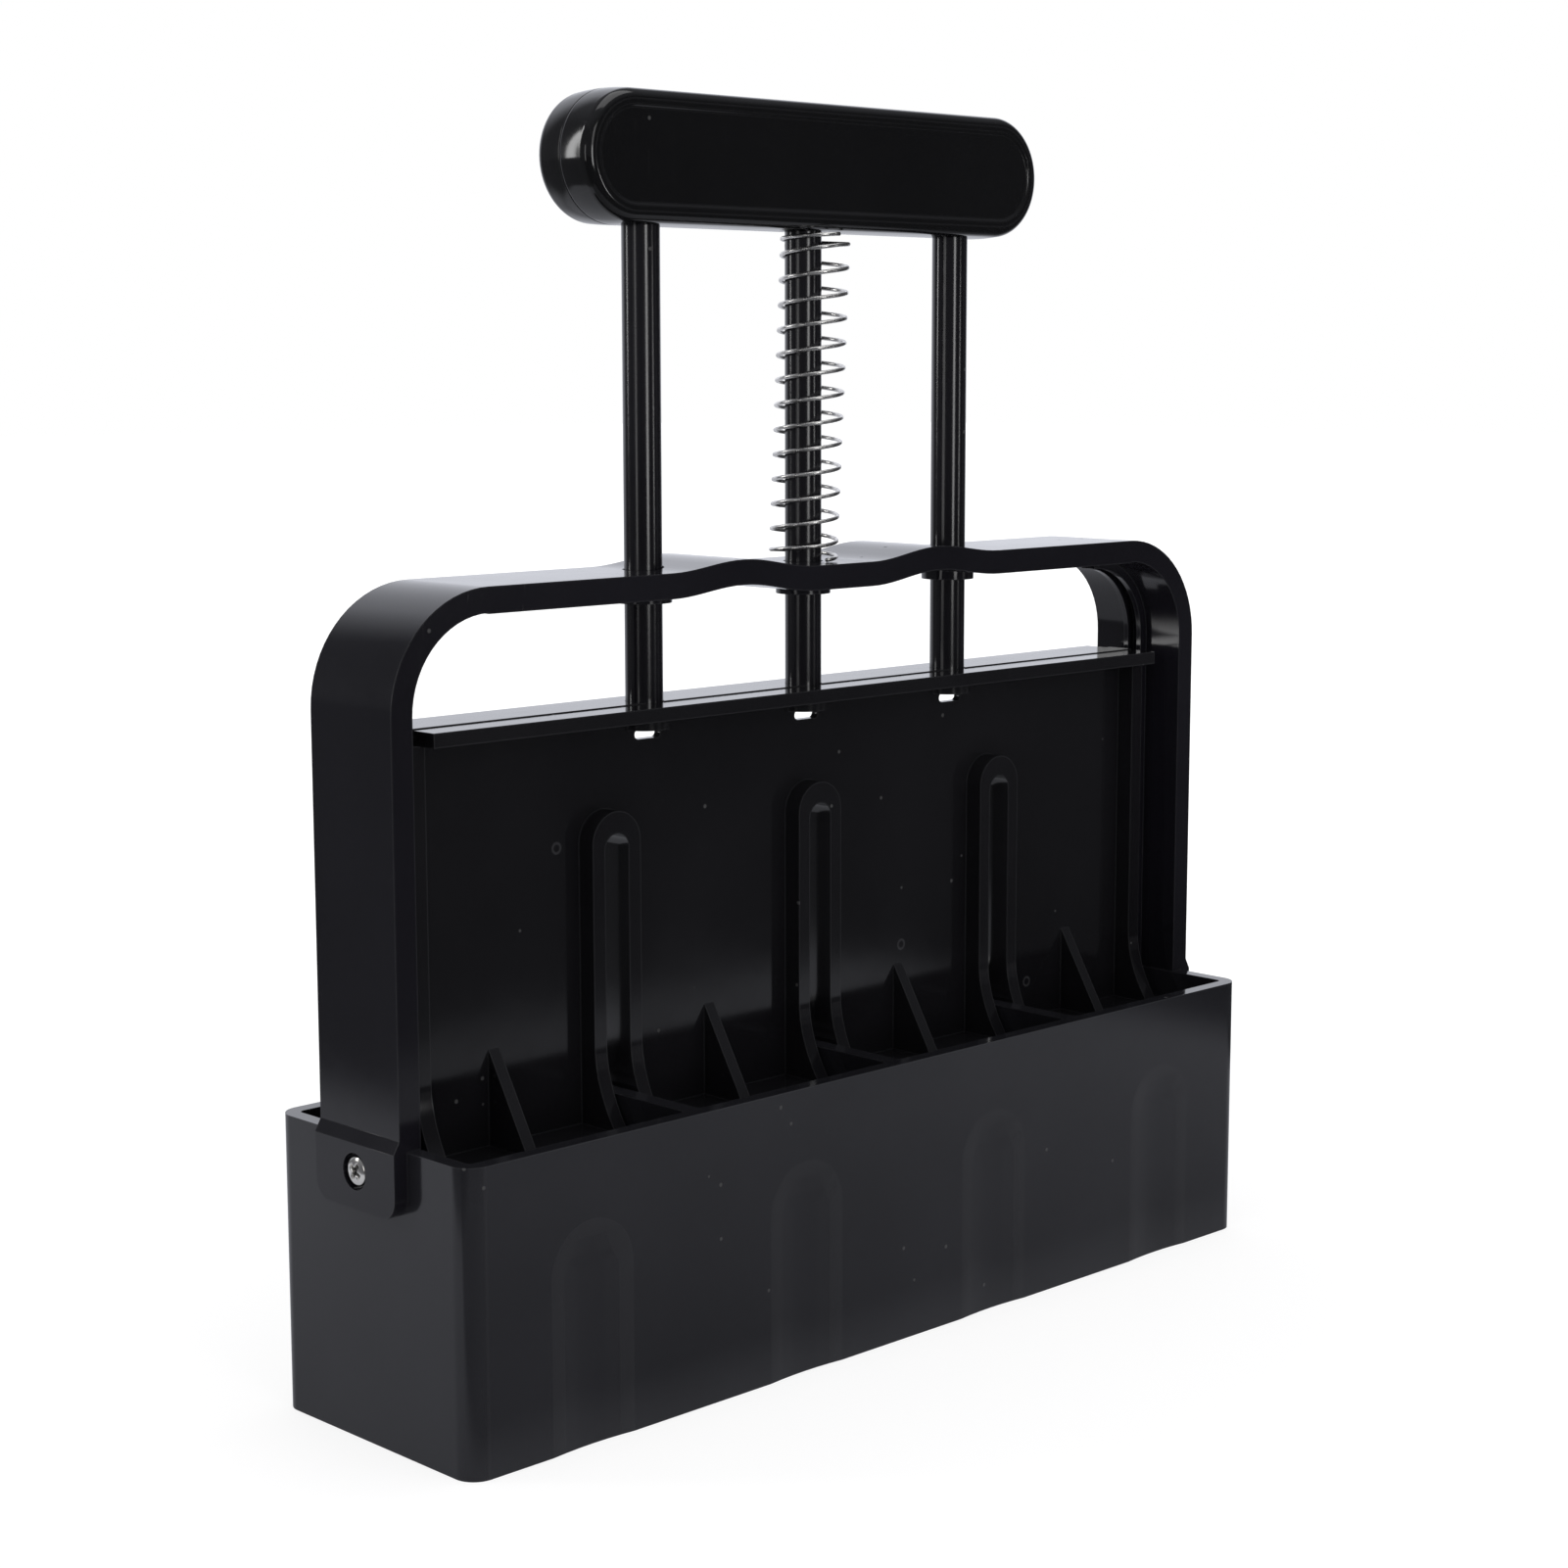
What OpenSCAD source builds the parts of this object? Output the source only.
// Hand-held soil blocker: a four-cell mould with a grip frame over it, and a
// sprung plunger that pushes the finished blocks of soil out of the cells.
//
// Frame: +Z up, X along the row of cells, Y from the front (-) to the back (+).
// The origin is under the middle of the mould, on the surface it stands on.
// Units are millimetres. The model is drawn at rest, with the plunger up.

/* [Mould] */
// Inside width of one square cell
cell_w = 50.8; // [46:0.2:56]
// Thickness of the mould's outer walls
wall = 3; // [2.4:0.2:4]
// Thickness of the dividers between the cells
divider_t = 3.6; // [3:0.1:5]
// Height of the mould
mould_h = 56.8; // [52:0.4:62]
// Radius of the mould's upright outer corners
corner_r = 4.4; // [3:0.2:6]
// Radius of the cells' upright inner corners
cell_r = 1.2; // [0.6:0.2:3]
// Width of each shallow finger scallop in the long walls
scallop_w = 19.5; // [14:0.5:28]
// Height of the top of a scallop above the ground
scallop_top = 42.4; // [34:0.4:48]
// Depth of a scallop at its middle
scallop_depth = 0.6; // [0.3:0.1:1.2]

/* [Grip frame] */
// Width of the frame's strip from front to back
frame_depth = 23.5; // [18:0.5:30]
// Thickness of the legs
leg_t = 4.7; // [3.6:0.1:6]
// Height of the finger bar's flat top above the mould's rim
leg_h = 98.7; // [96:0.5:110]
// Outer radius of the frame's two upper corners
frame_corner_r = 22; // [16:0.5:24]
// Thickness of the finger bar
bar_t = 4.9; // [4:0.1:6]
// Distance of each finger crest from the middle rod
crest_x = 27.5; // [24:0.5:30]
// Run of the slope from a crest down to the flat bar
crest_run = 18.5; // [12:0.5:22]
// Height of the crests above the flat bar
crest_h = 1.7; // [0.6:0.1:3]
// Depth of the middle trough below the flat bar
trough_h = 0.5; // [0.2:0.1:1.5]
// Diameter of the guide bosses under the bar
guide_boss_d = 11; // [10:0.5:14]
// Height of the guide bosses under the bar
guide_boss_h = 1.5; // [0.5:0.1:3]
// Width of each of the two guide ribs inside a leg
guide_rib_w = 1.2; // [0.8:0.1:2]
// Height of the guide ribs
guide_rib_h = 2; // [1.4:0.1:3]
// Thickness of the tabs that lap over the mould's end walls
tab_t = 3; // [2.4:0.1:4]
// Reach of the tabs below the mould's rim
tab_drop = 12.3; // [10:0.1:16]
// Radius of the tabs' lower corners
tab_corner_r = 4; // [2:0.5:6]
// Height of the sloped shoulder between a leg and its tab
shoulder_h = 2.3; // [1.5:0.1:4]

/* [Press panel] */
// Height of a block of soil, from the mould's foot to the plates at rest
block_h = 48.7; // [46:0.1:50]
// Thickness of the press plates
plate_t = 2; // [1.6:0.1:2.4]
// Thickness of the upright web
web_t = 1.8; // [1.4:0.1:2.4]
// Height of the panel's flange above the press plates
panel_h = 79.5; // [72:0.1:82]
// Width of the flange from front to back
flange_w = 19.4; // [14:0.4:23]
// Thickness of the flange
flange_t = 2.7; // [2:0.1:4]
// Gap between the flange's ends and the guide ribs
flange_end_gap = 4.1; // [2:0.1:8]
// Width of the low ridge along the flange
ridge_w = 6; // [4:0.2:9]
// Height of the low ridge along the flange
ridge_h = 0.9; // [0.4:0.1:1.5]
// Gap between a divider and each side of the slot that straddles it
slot_gap = 1.15; // [0.8:0.05:1.6]
// Width of the raised rims round the slots
rim_w = 3.05; // [2:0.05:4]
// Depth of the rims and end ribs from front to back
rim_depth = 9.8; // [6:0.2:14]
// Thickness of the rims over the slots' round tops
rim_crown = 4.3; // [3:0.1:6]
// Width of the panel's end ribs
end_rib_w = 3.4; // [2:0.1:4]
// Height above the press plates at which the ribs start to flare
flare_h = 15.7; // [8:0.1:20]
// Depth of a flared rib on its press plate, from front to back
flare_depth = 21; // [16:0.5:30]
// Thickness of the gussets on the press plates
gusset_t = 2.6; // [1.6:0.1:4]
// Height of the gussets above the press plates
gusset_h = 18.3; // [10:0.1:24]
// Width of each gusset's foot from front to back
gusset_depth = 23.6; // [16:0.4:30]
// Width of the small windows in the web under the rods
window_w = 6.7; // [5:0.1:8]
// Height of the small windows in the web under the rods
window_h = 1.9; // [1.2:0.1:3]

/* [Seed pins] */
// Diameter of a seed pin at its shoulder
pin_d = 12; // [8:0.5:18]
// Length of a seed pin below its press plate
pin_l = 9; // [6:0.5:14]
// Radius of a seed pin's nose
pin_nose_r = 3; // [2:0.25:4]
// Diameter of a seed pin's shank
pin_shank_d = 3; // [2:0.1:3]

/* [Rods] */
// Diameter of the rods
rod_d = 7.4; // [5.5:0.1:8]
// Distance between neighbouring rods
rod_pitch = 42.85; // [40:0.5:46]
// Depth of a rod's socket, from the flange's top to the rod's lower end
socket_depth = 5.1; // [4:0.1:8]
// Diameter of the sockets under the flange
socket_d = 10.2; // [9.4:0.2:12]

/* [Spring] */
// Outer diameter of the return spring
spring_d = 14; // [12.8:0.1:15]
// Diameter of the spring's wire
wire_d = 0.8; // [0.6:0.05:1]
// Length of the spring at rest, from the finger bar to the handle
spring_l = 64.6; // [60:0.2:80]
// Number of turns of the spring
spring_turns = 14; // [10:1:16]
// Rise of each of the two end turns
end_rise = 2.4; // [1.6:0.1:3]

/* [Handle] */
// Length of the handle
handle_l = 124.8; // [116:0.5:150]
// Height of the handle
handle_h = 24.8; // [22:0.2:32]
// Depth of the handle from front to back
handle_d = 15; // [14:0.5:20]
// Radius of the handle's long edges
handle_edge_r = 3; // [1.5:0.1:4]
// Wall thickness of the handle's shells
shell_t = 2.4; // [2:0.1:3]
// Margin between the handle's outline and the sunk field on its faces
field_margin = 3.6; // [3.2:0.1:6]
// Depth of the sunk fields
field_depth = 0.4; // [0.2:0.1:0.8]
// Length of a rod inside the handle
rod_grip = 19; // [17:0.5:20]

/* [Screws] */
// Shank diameter of the screws
screw_d = 2.9; // [2.5:0.1:3.2]
// Head diameter of the screws
screw_head_d = 5.5; // [5:0.1:6]
// Height of the screws' heads
screw_head_h = 1.6; // [1.2:0.1:2]
// Depth of the frame screws below the mould's rim
screw_drop = 5.2; // [4.5:0.1:8]
// Depth of the counterbores that take the screws' heads
counterbore = 1.5; // [1.2:0.1:1.8]

/* [Clearances] */
// Gap all round a press plate in its cell
plate_gap = 0.3; // [0.2:0.05:0.8]
// Radial gap between a rod and its guide hole
rod_gap = 0.3; // [0.2:0.05:0.6]
// Gap on each side of the panel's tongue in its guide
guide_gap = 0.3; // [0.2:0.05:0.5]
// Gap left at the plunger's upper stop
stop_gap = 0.3; // [0.2:0.05:0.5]
// Radial gap round a screw's head in its counterbore
head_gap = 0.65; // [0.3:0.05:0.8]
// Radial gap of a fixed piece in its hole
fit_gap = 0.05; // [0.02:0.01:0.1]

/* [Hidden] */
$fn = 64;
eps = 0.01;
cells = 4;

// Mould
cell_pitch = cell_w + divider_t;
mould_l = cells * cell_w + (cells - 1) * divider_t + 2 * wall;
mould_w = cell_w + 2 * wall;
cell_xs = [for (i = [0 : cells - 1]) (i - (cells - 1) / 2) * cell_pitch];
divider_xs = [for (i = [1 : cells - 1]) (i - cells / 2) * cell_pitch];
scallop_r = (pow(scallop_w / 2, 2) + pow(scallop_depth, 2)) / (2 * scallop_depth);

// Grip frame: the legs' inner faces lie flush with the end walls' inner faces
leg_in = mould_l / 2 - wall;
leg_out = leg_in + leg_t;
tab_out = mould_l / 2 + tab_t;
bar_z = mould_h + leg_h;
corner_z = bar_z - frame_corner_r;
corner_x = leg_out - frame_corner_r;
trough_half = spring_d / 2 + 1;
guide_w = web_t + 2 * guide_gap + 2 * guide_rib_w;
rod_xs = [-rod_pitch, 0, rod_pitch];

// Press panel at rest
plate_z = block_h;
plate_top = plate_z + plate_t;
plate_w = cell_w - 2 * plate_gap;
flange_top = plate_top + panel_h;
flange_z = flange_top - flange_t;
flange_x = leg_in - guide_rib_h - flange_end_gap;
end_rib_x = flange_x + end_rib_w / 2;
tongue_x = leg_in - guide_gap;
stroke = block_h;
slot_w = divider_t + 2 * slot_gap;

// The slots' round tops stop just clear of the dividers' edges at full stroke
slot_arc_z = mould_h + stroke
    - sqrt(pow(slot_w / 2 - stop_gap, 2) - pow(divider_t / 2, 2));
slot_top = slot_arc_z + slot_w / 2;
socket_z = flange_top - socket_depth;

// Spring and handle at rest
spring_z = bar_z - trough_h;
handle_z = spring_z + spring_l;
handle_mid = handle_z + handle_h / 2;
handle_r = handle_h / 2;
handle_cx = handle_l / 2 - handle_r;
rod_top = handle_z + rod_grip;
rod_hole_d = screw_d + 2 * fit_gap;
rod_bore_d = rod_d + 2 * fit_gap;

// ---------------------------------------------------------------- helpers

// A square of sides w and d with round corners of radius r, centred
module rounded_rect(w, d, r) {
    square([w - 2 * r, d], center = true);
    square([w, d - 2 * r], center = true);
    for (sx = [-1, 1])
        for (sy = [-1, 1])
            translate([sx * (w / 2 - r), sy * (d / 2 - r)])
                circle(r);
}

// A shape drawn in X and Z, carried along Y from y0 to y1
module along_y(y0, y1) {
    translate([0, y1, 0])
        rotate([90, 0, 0])
            linear_extrude(y1 - y0)
                children();
}

// A shape drawn in Y and Z, carried along X from x0 to x1
module along_x(x0, x1) {
    translate([x0, 0, 0])
        rotate([90, 0, 90])
            linear_extrude(x1 - x0)
                children();
}

// A cylinder along Y from y0 to y1
module bar_y(d, y0, y1) {
    translate([0, y1, 0])
        rotate([90, 0, 0])
            cylinder(d = d, h = y1 - y0);
}

// Both ends of the object, from one drawn at +X
module both_ends() {
    children();
    mirror([1, 0, 0])
        children();
}

// ------------------------------------------------------------------ mould

// One finger scallop in the front wall: a large cylinder under a sphere, both
// sunk by scallop_depth, so that its outline is a round arch
module scallop() {
    arch_z = scallop_top - scallop_w / 2;
    translate([0, -mould_w / 2 + scallop_depth - scallop_r, arch_z]) {
        sphere(scallop_r, $fn = 180);
        translate([0, 0, -arch_z - 1])
            cylinder(r = scallop_r, h = arch_z + 1, $fn = 180);
    }
}

module mould() {
    color([0.13, 0.13, 0.15])
    difference() {
        linear_extrude(mould_h)
            difference() {
                rounded_rect(mould_l, mould_w, corner_r);
                for (x = cell_xs)
                    translate([x, 0])
                        rounded_rect(cell_w, cell_w, cell_r);
            }
        for (x = cell_xs)
            for (turn = [0, 180])
                rotate([0, 0, turn])
                    translate([x, 0, 0])
                        scallop();
        both_ends()
            translate([mould_l / 2 - wall - 1, 0, mould_h - screw_drop])
                rotate([0, 90, 0])
                    cylinder(d = screw_d + 2 * fit_gap, h = wall + 2);
    }
}

// ------------------------------------------------------------- grip frame

// Height of the bar's top at x: a flat trough in the middle, a half cosine up
// to each crest and another one down to the flat bar
function bar_top(x) =
    let (a = abs(x))
    a < trough_half ? bar_z - trough_h
    : a < crest_x
        ? bar_z - trough_h + (crest_h + trough_h)
            * (1 - cos(180 * (a - trough_half) / (crest_x - trough_half))) / 2
    : a < crest_x + crest_run
        ? bar_z + crest_h * (1 + cos(180 * (a - crest_x) / crest_run)) / 2
    : bar_z;

// Places along the bar at which its wave is drawn
wave_steps = 10;
half_wave_xs = concat(
    [for (i = [0 : wave_steps])
        trough_half + (crest_x - trough_half) * i / wave_steps],
    [for (i = [1 : wave_steps]) crest_x + crest_run * i / wave_steps]);
wave_xs = concat(
    [-corner_x],
    [for (i = [len(half_wave_xs) - 1 : -1 : 0]) -half_wave_xs[i]],
    half_wave_xs,
    [corner_x]);

module finger_bar() {
    along_y(-frame_depth / 2, frame_depth / 2)
        polygon(concat(
            [for (x = wave_xs) [x, bar_top(x)]],
            [for (i = [len(wave_xs) - 1 : -1 : 0])
                [wave_xs[i], bar_top(wave_xs[i]) - bar_t]]));
    for (x = rod_xs)
        translate([x, 0, bar_top(x) - bar_t - guide_boss_h])
            cylinder(d = guide_boss_d, h = guide_boss_h + bar_t / 2);
}

// Cross-section of the right leg: the strip and, on its inner face, the two
// guide ribs with the groove for the panel's tongue between them
module leg_section() {
    translate([leg_in, -frame_depth / 2])
        square([leg_t, frame_depth]);
    for (side = [0, 1])
        mirror([0, side])
            translate([leg_in - guide_rib_h, guide_w / 2 - guide_rib_w])
                square([guide_rib_h, guide_rib_w]);
}

// A leg's section, carried a quarter turn round the frame's corner
module frame_corner() {
    translate([corner_x, 0, corner_z])
        rotate([90, 0, 0])
            rotate_extrude(angle = 90, $fn = 120)
                translate([-corner_x, 0])
                    leg_section();
}

// The tab over the mould's end wall, seen from the side: two round corners
module tab_outline() {
    low = mould_h - tab_drop;
    translate([-frame_depth / 2 + tab_corner_r, low])
        square([frame_depth - 2 * tab_corner_r, tab_drop]);
    translate([-frame_depth / 2, low + tab_corner_r])
        square([frame_depth, tab_drop - tab_corner_r]);
    for (side = [-1, 1])
        translate([side * (frame_depth / 2 - tab_corner_r), low + tab_corner_r])
            circle(tab_corner_r);
}

module tab() {
    along_x(mould_l / 2, tab_out)
        tab_outline();
    along_y(-frame_depth / 2, frame_depth / 2)
        polygon([
            [mould_l / 2, mould_h],
            [tab_out, mould_h],
            [leg_out, mould_h + shoulder_h],
            [mould_l / 2, mould_h + shoulder_h]]);
}

// The guide ribs run on into the cell, where they stop the rising plates
module leg_guides() {
    rib_z = plate_top + stop_gap;
    translate([0, 0, rib_z])
        linear_extrude(mould_h - rib_z)
            translate([leg_in - guide_rib_h, 0])
                for (side = [0, 1])
                    mirror([0, side])
                        translate([0, guide_w / 2 - guide_rib_w])
                            square([guide_rib_h - fit_gap, guide_rib_w]);
}

module screw_seat() {
    translate([mould_l / 2 - 1, 0, mould_h - screw_drop])
        rotate([0, 90, 0])
            cylinder(d = screw_d + 2 * fit_gap, h = tab_t + 2);
    translate([tab_out - counterbore, 0, mould_h - screw_drop])
        rotate([0, 90, 0])
            cylinder(d = screw_head_d + 2 * head_gap, h = counterbore + 1);
}

module grip_frame() {
    color([0.12, 0.12, 0.14])
    difference() {
        union() {
            finger_bar();
            both_ends() {
                translate([0, 0, mould_h])
                    linear_extrude(corner_z - mould_h)
                        leg_section();
                frame_corner();
                leg_guides();
                tab();
            }
        }
        for (x = rod_xs)
            translate([x, 0, bar_z - bar_t - guide_boss_h - trough_h - 1])
                cylinder(d = rod_d + 2 * rod_gap,
                         h = bar_t + guide_boss_h + trough_h + crest_h + 2);
        both_ends()
            screw_seat();
    }
}

// ------------------------------------------------------------ press panel

// Side view of a rib: straight above, and below flare_h a quarter cosine out
// to the plate
flare_steps = 10;
function flare_y(h) =
    h > flare_h ? rim_depth / 2
    : rim_depth / 2 + (flare_depth - rim_depth) / 2 * pow(1 - h / flare_h, 2);

module rib_side() {
    hs = concat([for (i = [0 : flare_steps]) flare_h * i / flare_steps], [panel_h]);
    polygon(concat(
        [for (h = hs) [flare_y(h), plate_top - eps + h]],
        [for (i = [len(hs) - 1 : -1 : 0]) [-flare_y(hs[i]), plate_top - eps + hs[i]]]));
}

// Front view of a rim: an upturned U that straddles a divider
module rim_front() {
    half = slot_w / 2 + rim_w;
    crown_z = slot_top + rim_crown - half;
    difference() {
        union() {
            translate([-half, plate_z])
                square([2 * half, crown_z - plate_z]);
            translate([0, crown_z])
                circle(half);
        }
        slot_front();
    }
}

module slot_front() {
    translate([-slot_w / 2, plate_z - 1])
        square([slot_w, slot_arc_z - plate_z + 1]);
    translate([0, slot_arc_z])
        circle(slot_w / 2);
}

module rims() {
    for (x = divider_xs)
        intersection() {
            translate([x, 0, 0])
                along_y(-flare_depth, flare_depth)
                    rim_front();
            along_x(x - slot_w / 2 - rim_w, x + slot_w / 2 + rim_w)
                rib_side();
        }
    both_ends()
        along_x(end_rib_x - end_rib_w, end_rib_x)
            intersection() {
                rib_side();
                translate([-flare_depth / 2, plate_top - 1])
                    square([flare_depth, flange_z + eps - plate_top + 1]);
            }
}

module gussets() {
    for (x = cell_xs)
        along_x(x - gusset_t / 2, x + gusset_t / 2)
            polygon([
                [-gusset_depth / 2, plate_top - eps],
                [gusset_depth / 2, plate_top - eps],
                [web_t / 2, plate_top + gusset_h],
                [-web_t / 2, plate_top + gusset_h]]);
}

// The upright web and its tongues, which run in the legs' guides
module web() {
    along_y(-web_t / 2, web_t / 2)
        difference() {
            translate([-tongue_x, plate_top - eps])
                square([2 * tongue_x, flange_z - plate_top + 2 * eps]);
            for (x = divider_xs)
                translate([x, 0])
                    slot_front();
            for (x = rod_xs)
                translate([x, socket_z - window_h / 2]) {
                    square([window_w - window_h, window_h], center = true);
                    for (side = [-1, 1])
                        translate([side * (window_w - window_h) / 2, 0])
                            circle(d = window_h);
                }
        }
}

module flange() {
    translate([-flange_x, -flange_w / 2, flange_z])
        cube([2 * flange_x, flange_w, flange_t]);
    translate([-flange_x, -ridge_w / 2, flange_top - eps])
        cube([2 * flange_x, ridge_w, ridge_h + eps]);
    for (x = rod_xs)
        translate([x, 0, socket_z])
            cylinder(d = socket_d, h = flange_z - socket_z + eps);
}

module plates() {
    for (x = cell_xs)
        translate([x, 0, plate_z])
            linear_extrude(plate_t)
                rounded_rect(plate_w, plate_w, cell_r + plate_gap);
}

module press_panel() {
    color([0.08, 0.08, 0.09])
    difference() {
        union() {
            web();
            rims();
            gussets();
            flange();
            plates();
        }
        for (x = rod_xs)
            translate([x, 0, socket_z])
                cylinder(d = rod_bore_d, h = socket_depth + ridge_h + 1);
        for (x = cell_xs)
            translate([x, 0, plate_z - 1])
                cylinder(d = pin_shank_d + 2 * fit_gap, h = plate_t + 1);
    }
}

// -------------------------------------------------------------- seed pins

// A tapered pin with a round nose, which prints the seed's hollow into the
// block; its shank is pressed into the plate
module seed_pin(i) {
    color([0.1, 0.1, 0.11])
    translate([cell_xs[i], 0, plate_z]) {
        translate([0, 0, pin_nose_r - pin_l]) {
            sphere(pin_nose_r);
            cylinder(r1 = pin_nose_r, d2 = pin_d, h = pin_l - pin_nose_r);
        }
        translate([0, 0, -eps])
            cylinder(d = pin_shank_d, h = plate_t - fit_gap + eps);
    }
}

// ------------------------------------------------------------------- rods

module rod(i) {
    color([0.07, 0.07, 0.08])
    difference() {
        translate([rod_xs[i], 0, socket_z])
            cylinder(d = rod_d, h = rod_top - socket_z);
        translate([rod_xs[i], 0, handle_mid])
            bar_y(rod_hole_d, -rod_d, rod_d);
    }
}

// ----------------------------------------------------------------- spring

// The wire stands up from the bar for one wire diameter, bends into the coil
// and ends in the same way under the handle. The coil's rise is end_rise in
// the first and the last turn and even in between.
coil_r = (spring_d - wire_d) / 2;
bend_r = wire_d;
bend_steps = 4;
turn_steps = 8;
wire_sides = 6;
coil_rise = spring_l - 2 * (wire_d + bend_r);
body_rise = (coil_rise - 2 * end_rise) / (spring_turns - 2);

function turn_height(t) =
    t < 1 ? end_rise * t
    : t < spring_turns - 1 ? end_rise + body_rise * (t - 1)
    : coil_rise - end_rise * (spring_turns - t);

// Angle that the bends take up at either end
bend_angle = bend_r / coil_r * 180 / PI;

function on_coil(angle, z) = [coil_r * sin(angle), -coil_r * cos(angle), z];

foot_path = concat(
    [on_coil(-bend_angle, 0)],
    [for (i = [0 : bend_steps - 1])
        let (a = 90 * i / bend_steps)
        on_coil(-bend_angle * cos(a), wire_d + bend_r * sin(a))]);
coil_path = [for (i = [0 : turn_steps * spring_turns])
    let (t = i / turn_steps)
    on_coil(360 * t, wire_d + bend_r + turn_height(t))];
head_path = concat(
    [for (i = [bend_steps - 1 : -1 : 0])
        let (a = 90 * i / bend_steps)
        on_coil(bend_angle * cos(a), spring_l - wire_d - bend_r * sin(a))],
    [on_coil(bend_angle, spring_l)]);
wire_path = concat(foot_path, coil_path, head_path);

function unit(v) = v / norm(v);

// Direction of the wire at point i of its path
function wire_way(i) =
    let (n = len(wire_path))
    i < 1 || i > n - 2
        ? [0, 0, 1]
        : unit(wire_path[i + 1] - wire_path[i - 1]);

// One ring of points across the wire: it stays square to the path
function wire_ring(i) =
    let (
        way = wire_way(i),
        out = unit([wire_path[i][0], wire_path[i][1], 0]),
        side = unit(cross(way, out)),
        up = cross(side, way))
    [for (k = [0 : wire_sides - 1])
        let (a = 360 * k / wire_sides)
        wire_path[i] + wire_d / 2 * (cos(a) * up + sin(a) * side)];

module spring_wire() {
    rings = len(wire_path);
    points = [for (i = [0 : rings - 1]) each wire_ring(i)];
    walls = [for (i = [0 : rings - 2], k = [0 : wire_sides - 1])
        let (
            a = i * wire_sides + k,
            b = i * wire_sides + (k + 1) % wire_sides)
        each [[a, a + wire_sides, b], [b, a + wire_sides, b + wire_sides]]];
    last = (rings - 1) * wire_sides;
    caps = [for (k = [1 : wire_sides - 2])
        each [[0, k, k + 1], [last, last + k + 1, last + k]]];
    polyhedron(points, concat(walls, caps));
}

// Least gap of the wire to itself, between points of its path that lie at
// least one turn's steps apart along it
spring_gap = min([for (i = [0 : len(wire_path) - 1])
    for (j = [i + turn_steps : 1 : len(wire_path) - 1])
        norm(wire_path[i] - wire_path[j])]) - wire_d;
echo(spring_least_gap_mm = spring_gap);

module spring() {
    color([0.75, 0.76, 0.78])
    translate([0, 0, spring_z])
        spring_wire();
}

// ----------------------------------------------------------------- handle

// Outline of the handle from the front, drawn inset by m
module handle_front(m) {
    translate([-handle_cx, -(handle_r - m)])
        square([2 * handle_cx, 2 * (handle_r - m)]);
    for (side = [-1, 1])
        translate([side * handle_cx, 0])
            circle(handle_r - m);
}

// Half of the handle's cross-section, drawn inset by m: X is the distance from
// its long axis and Y the distance from the joint between the shells
module half_section(m, edge_r) {
    r = handle_r - m;
    d = handle_d / 2 - m;
    square([r, d - edge_r]);
    square([r - edge_r, d]);
    translate([r - edge_r, d - edge_r])
        circle(edge_r);
}

// One half of the handle, inset by m, on the front (-Y) side of the joint
module half_body(m, edge_r) {
    translate([0, 0, handle_mid])
        rotate([90, 0, 0]) {
            for (side = [-1, 1])
                translate([side * handle_cx, 0, 0])
                    rotate_extrude()
                        intersection() {
                            half_section(m, edge_r);
                            square([handle_r, handle_d]);
                        }
            for (side = [0, 1])
                mirror([0, side, 0])
                    translate([-handle_cx, 0, 0])
                        rotate([90, 0, 90])
                            linear_extrude(2 * handle_cx)
                                half_section(m, edge_r);
        }
}

// A shell with its posts: the posts hold the rods between them
module handle_shell() {
    inner_edge = max(handle_edge_r - shell_t, 0.4);
    post_d = rod_d + 4;
    difference() {
        union() {
            difference() {
                half_body(0, handle_edge_r);
                half_body(shell_t, inner_edge);
            }
            intersection() {
                for (x = rod_xs)
                    translate([x, 0, handle_mid])
                        bar_y(post_d, -handle_d / 2 + shell_t / 2, 0);
                half_body(shell_t / 2, inner_edge);
            }
        }
        for (x = rod_xs)
            translate([x, 0, handle_z - 1])
                cylinder(d = rod_bore_d, h = rod_grip + 1 + fit_gap);
        translate([0, 0, handle_mid])
            along_y(-handle_d / 2 - 1, -handle_d / 2 + field_depth)
                handle_front(field_margin);
    }
}

module handle_front_shell() {
    color([0.09, 0.09, 0.1])
    difference() {
        handle_shell();
        for (x = rod_xs)
            translate([x, 0, handle_mid])
                bar_y(rod_hole_d, -handle_d / 2 + shell_t, 1);
    }
}

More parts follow.
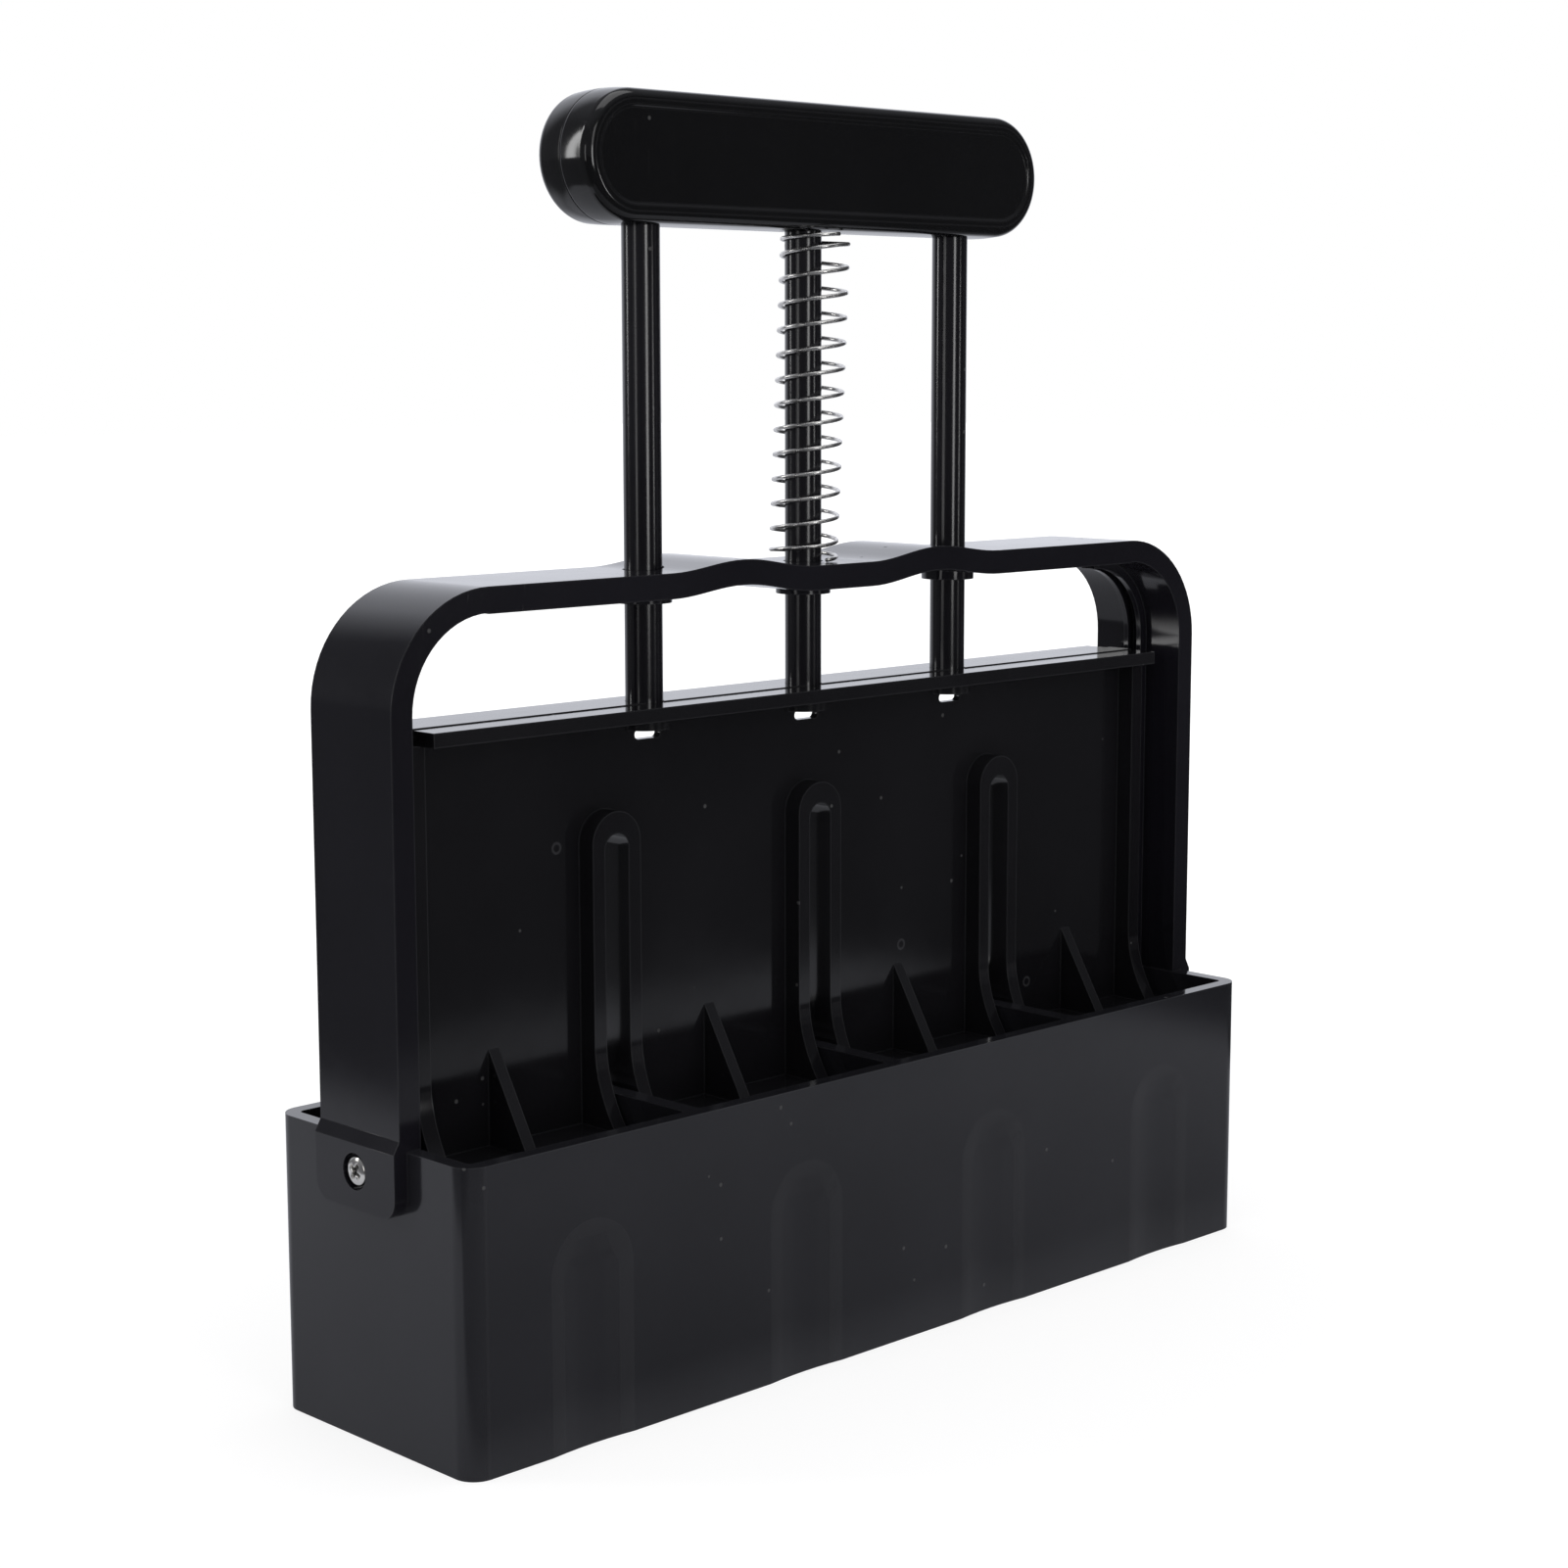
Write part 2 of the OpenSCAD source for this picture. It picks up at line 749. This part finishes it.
module handle_back_shell() {
    color([0.09, 0.09, 0.1])
    difference() {
        rotate([0, 0, 180])
            handle_shell();
        for (x = rod_xs)
            translate([x, 0, handle_mid]) {
                bar_y(rod_hole_d, -1, handle_d / 2 + 1);
                bar_y(screw_head_d + 2 * head_gap,
                      handle_d / 2 - field_depth - counterbore, handle_d / 2 + 1);
            }
    }
}

// ----------------------------------------------------------------- screws

// A cross-head screw along +Z with its head's underside at z = 0
module screw(shank_l) {
    slot_l = screw_head_d * 0.55;
    slot_t = screw_head_d * 0.14;
    difference() {
        union() {
            translate([0, 0, -shank_l])
                cylinder(d = screw_d, h = shank_l + eps);
            cylinder(d = screw_head_d, h = screw_head_h * 0.55);
            translate([0, 0, screw_head_h * 0.55 - eps])
                cylinder(d1 = screw_head_d, d2 = screw_head_d * 0.62,
                         h = screw_head_h * 0.45);
        }
        for (turn = [45, 135])
            rotate([0, 0, turn])
                translate([-slot_l / 2, -slot_t / 2, screw_head_h * 0.4])
                    cube([slot_l, slot_t, screw_head_h]);
    }
}

module frame_screw() {
    color([0.72, 0.72, 0.74])
    translate([tab_out - counterbore, 0, mould_h - screw_drop])
        rotate([0, 90, 0])
            screw(tab_t - counterbore + wall - fit_gap);
}

module handle_screw(i) {
    head_y = handle_d / 2 - field_depth - counterbore;
    color([0.72, 0.72, 0.74])
    translate([rod_xs[i], head_y, handle_mid])
        rotate([-90, 0, 0])
            screw(head_y + handle_d / 2 - shell_t - fit_gap);
}

// -------------------------------------------------------------- assembly

mould();
grip_frame();
mirror([1, 0, 0]) frame_screw();  // frame_screw_left
frame_screw();  // frame_screw_right
press_panel();
seed_pin(0);  // seed_pin_1
seed_pin(1);  // seed_pin_2
seed_pin(2);  // seed_pin_3
seed_pin(3);  // seed_pin_4
rod(0);  // rod_left
rod(1);  // rod_middle
rod(2);  // rod_right
spring();
handle_front_shell();
handle_back_shell();
handle_screw(0);  // handle_screw_left
handle_screw(1);  // handle_screw_middle
handle_screw(2);  // handle_screw_right
